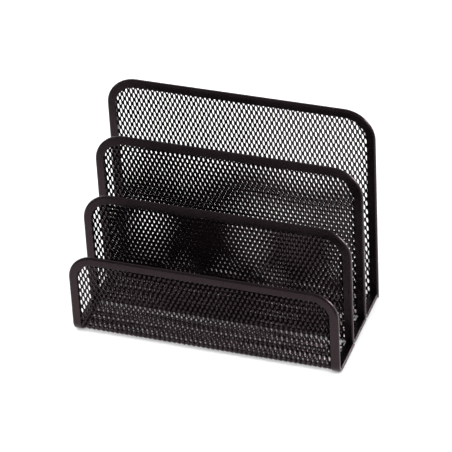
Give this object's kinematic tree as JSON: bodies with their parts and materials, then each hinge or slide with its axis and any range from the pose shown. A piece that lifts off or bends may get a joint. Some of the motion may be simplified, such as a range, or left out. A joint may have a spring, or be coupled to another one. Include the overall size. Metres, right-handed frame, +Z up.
{
  "type": "desktop file sorter",
  "caption": "Stepped desktop file sorter: upright panels of black steel mesh edged with folded steel channel, with open pockets between them.",
  "frame": {"origin": "middle of the footprint, on the plane that the sorter rests on", "axes": "+X to the right along the panels, +Y to the back, towards the tallest panel, +Z up"},
  "size_m": [0.171, 0.0846, 0.135],
  "materials": {
    "rim_paint": "satin black powder coat on folded steel strip",
    "mesh_paint": "satin black powder coat on expanded steel mesh"
  },
  "bodies": {
    "root": {"front_tray_rim": "rim_paint", "front_tray_mesh": "mesh_paint", "low_tray_rim": "rim_paint", "low_tray_mesh": "mesh_paint", "high_tray_rim": "rim_paint", "high_tray_mesh": "mesh_paint", "back_panel_rim": "rim_paint", "back_panel_mesh": "mesh_paint"}
  },
  "joints": []
}
